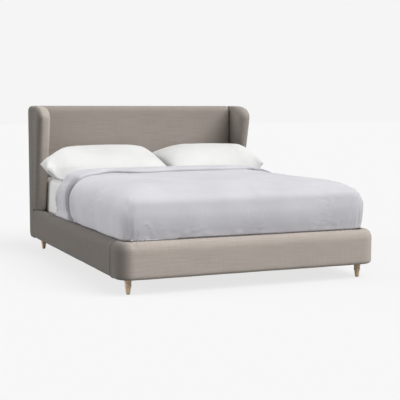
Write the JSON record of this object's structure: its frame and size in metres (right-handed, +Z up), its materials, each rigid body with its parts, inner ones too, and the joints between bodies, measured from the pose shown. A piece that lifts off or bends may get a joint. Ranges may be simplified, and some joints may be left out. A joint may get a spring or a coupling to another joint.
{
  "type": "upholstered wingback bed",
  "caption": "Upholstered bed with a winged headboard, a wrap-round foot rail and turned wooden legs, made up with mattress, duvet and pillows.",
  "frame": {"origin": "on the floor under the centre of the bed's outline", "axes": "+X to the bed's right side seen from its foot, +Y from the foot to the headboard, +Z up"},
  "size_m": [1.696, 2.15, 1.07],
  "materials": {
    "frame_timber": "sawn and planed, raw",
    "plywood": "raw",
    "upholstery": "slubbed linen weave, taupe grey",
    "zinc_steel": "zinc plated",
    "dowel": "fluted, raw",
    "black_steel": "powder coated",
    "levelling_steel": "zinc plated",
    "slat": "lacquered",
    "holder_plastic": "moulded",
    "leg_wood": "clear satin",
    "glide_plastic": "moulded",
    "mattress": "knitted",
    "sheet": "smooth cotton",
    "duvet": "soft cotton",
    "pillow": "smooth cotton"
  },
  "bodies": {
    "frame": {"headboard_post_left": "frame_timber", "headboard_post_right": "frame_timber", "headboard_base_rail": "frame_timber", "headboard_mid_rail": "frame_timber", "headboard_top_rail": "frame_timber", "headboard_face_board": "plywood", "headboard_back_board": "plywood", "headboard_centre_pad": "upholstery", "headboard_back_cover": "upholstery", "headboard_side_cover_left": "upholstery", "headboard_side_cover_right": "upholstery", "wing_board_left": "plywood", "wing_board_right": "plywood", "wing_pad_left": "upholstery", "wing_pad_right": "upholstery", "wing_bolts": "zinc_steel", "side_rail_left": "frame_timber", "side_rail_right": "frame_timber", "side_pad_left": "upholstery", "side_pad_right": "upholstery", "foot_rail": "frame_timber", "foot_block_left": "frame_timber", "foot_block_right": "frame_timber", "foot_pad": "upholstery", "frame_dowels": "dowel", "corner_bracket_front_left": "black_steel", "corner_bracket_front_right": "black_steel", "corner_bracket_back_left": "black_steel", "corner_bracket_back_right": "black_steel", "corner_bolts": "zinc_steel", "slat_ledge_left": "frame_timber", "slat_ledge_right": "frame_timber", "ledge_screws": "zinc_steel", "centre_beam": "frame_timber", "beam_hanger_front": "black_steel", "beam_hanger_back": "black_steel", "hanger_screws": "zinc_steel", "centre_leg_front": "black_steel", "centre_leg_back": "black_steel", "centre_leg_screws": "zinc_steel", "slats_left": "slat", "slats_right": "slat", "slat_holders_left": "holder_plastic", "slat_holders_right": "holder_plastic", "slat_holders_centre": "holder_plastic", "leg_front_left": "leg_wood", "leg_front_right": "leg_wood", "leg_back_left": "leg_wood", "leg_back_right": "leg_wood", "leg_bolts": "zinc_steel", "leg_inserts": "zinc_steel", "leg_glides": "glide_plastic"},
    "levelling_front": {"levelling_foot_front": "levelling_steel"},
    "levelling_back": {"levelling_foot_back": "levelling_steel"},
    "mattress": {"mattress": "mattress", "fitted_sheet": "sheet"},
    "duvet": {"duvet": "duvet"},
    "pillow_left": {"pillow_left": "pillow"},
    "pillow_right": {"pillow_right": "pillow"}
  },
  "joints": [
    {"name": "levelling_front_screw", "type": "slide", "parent": "frame", "child": "levelling_front", "axis": [0, 0, 1], "range_m": [0, 0.012]},
    {"name": "levelling_back_screw", "type": "slide", "parent": "frame", "child": "levelling_back", "axis": [0, 0, 1], "range_m": [0, 0.012]},
    {"name": "mattress_lift", "type": "slide", "parent": "frame", "child": "mattress", "axis": [0, 0, 1], "range_m": [0, 0.2]},
    {"name": "duvet_lift", "type": "slide", "parent": "mattress", "child": "duvet", "axis": [0, 0, 1], "range_m": [0, 0.2]},
    {"name": "pillow_left_lift", "type": "slide", "parent": "mattress", "child": "pillow_left", "axis": [0, 0, 1], "range_m": [0, 0.2]},
    {"name": "pillow_right_lift", "type": "slide", "parent": "mattress", "child": "pillow_right", "axis": [0, 0, 1], "range_m": [0, 0.2]}
  ]
}
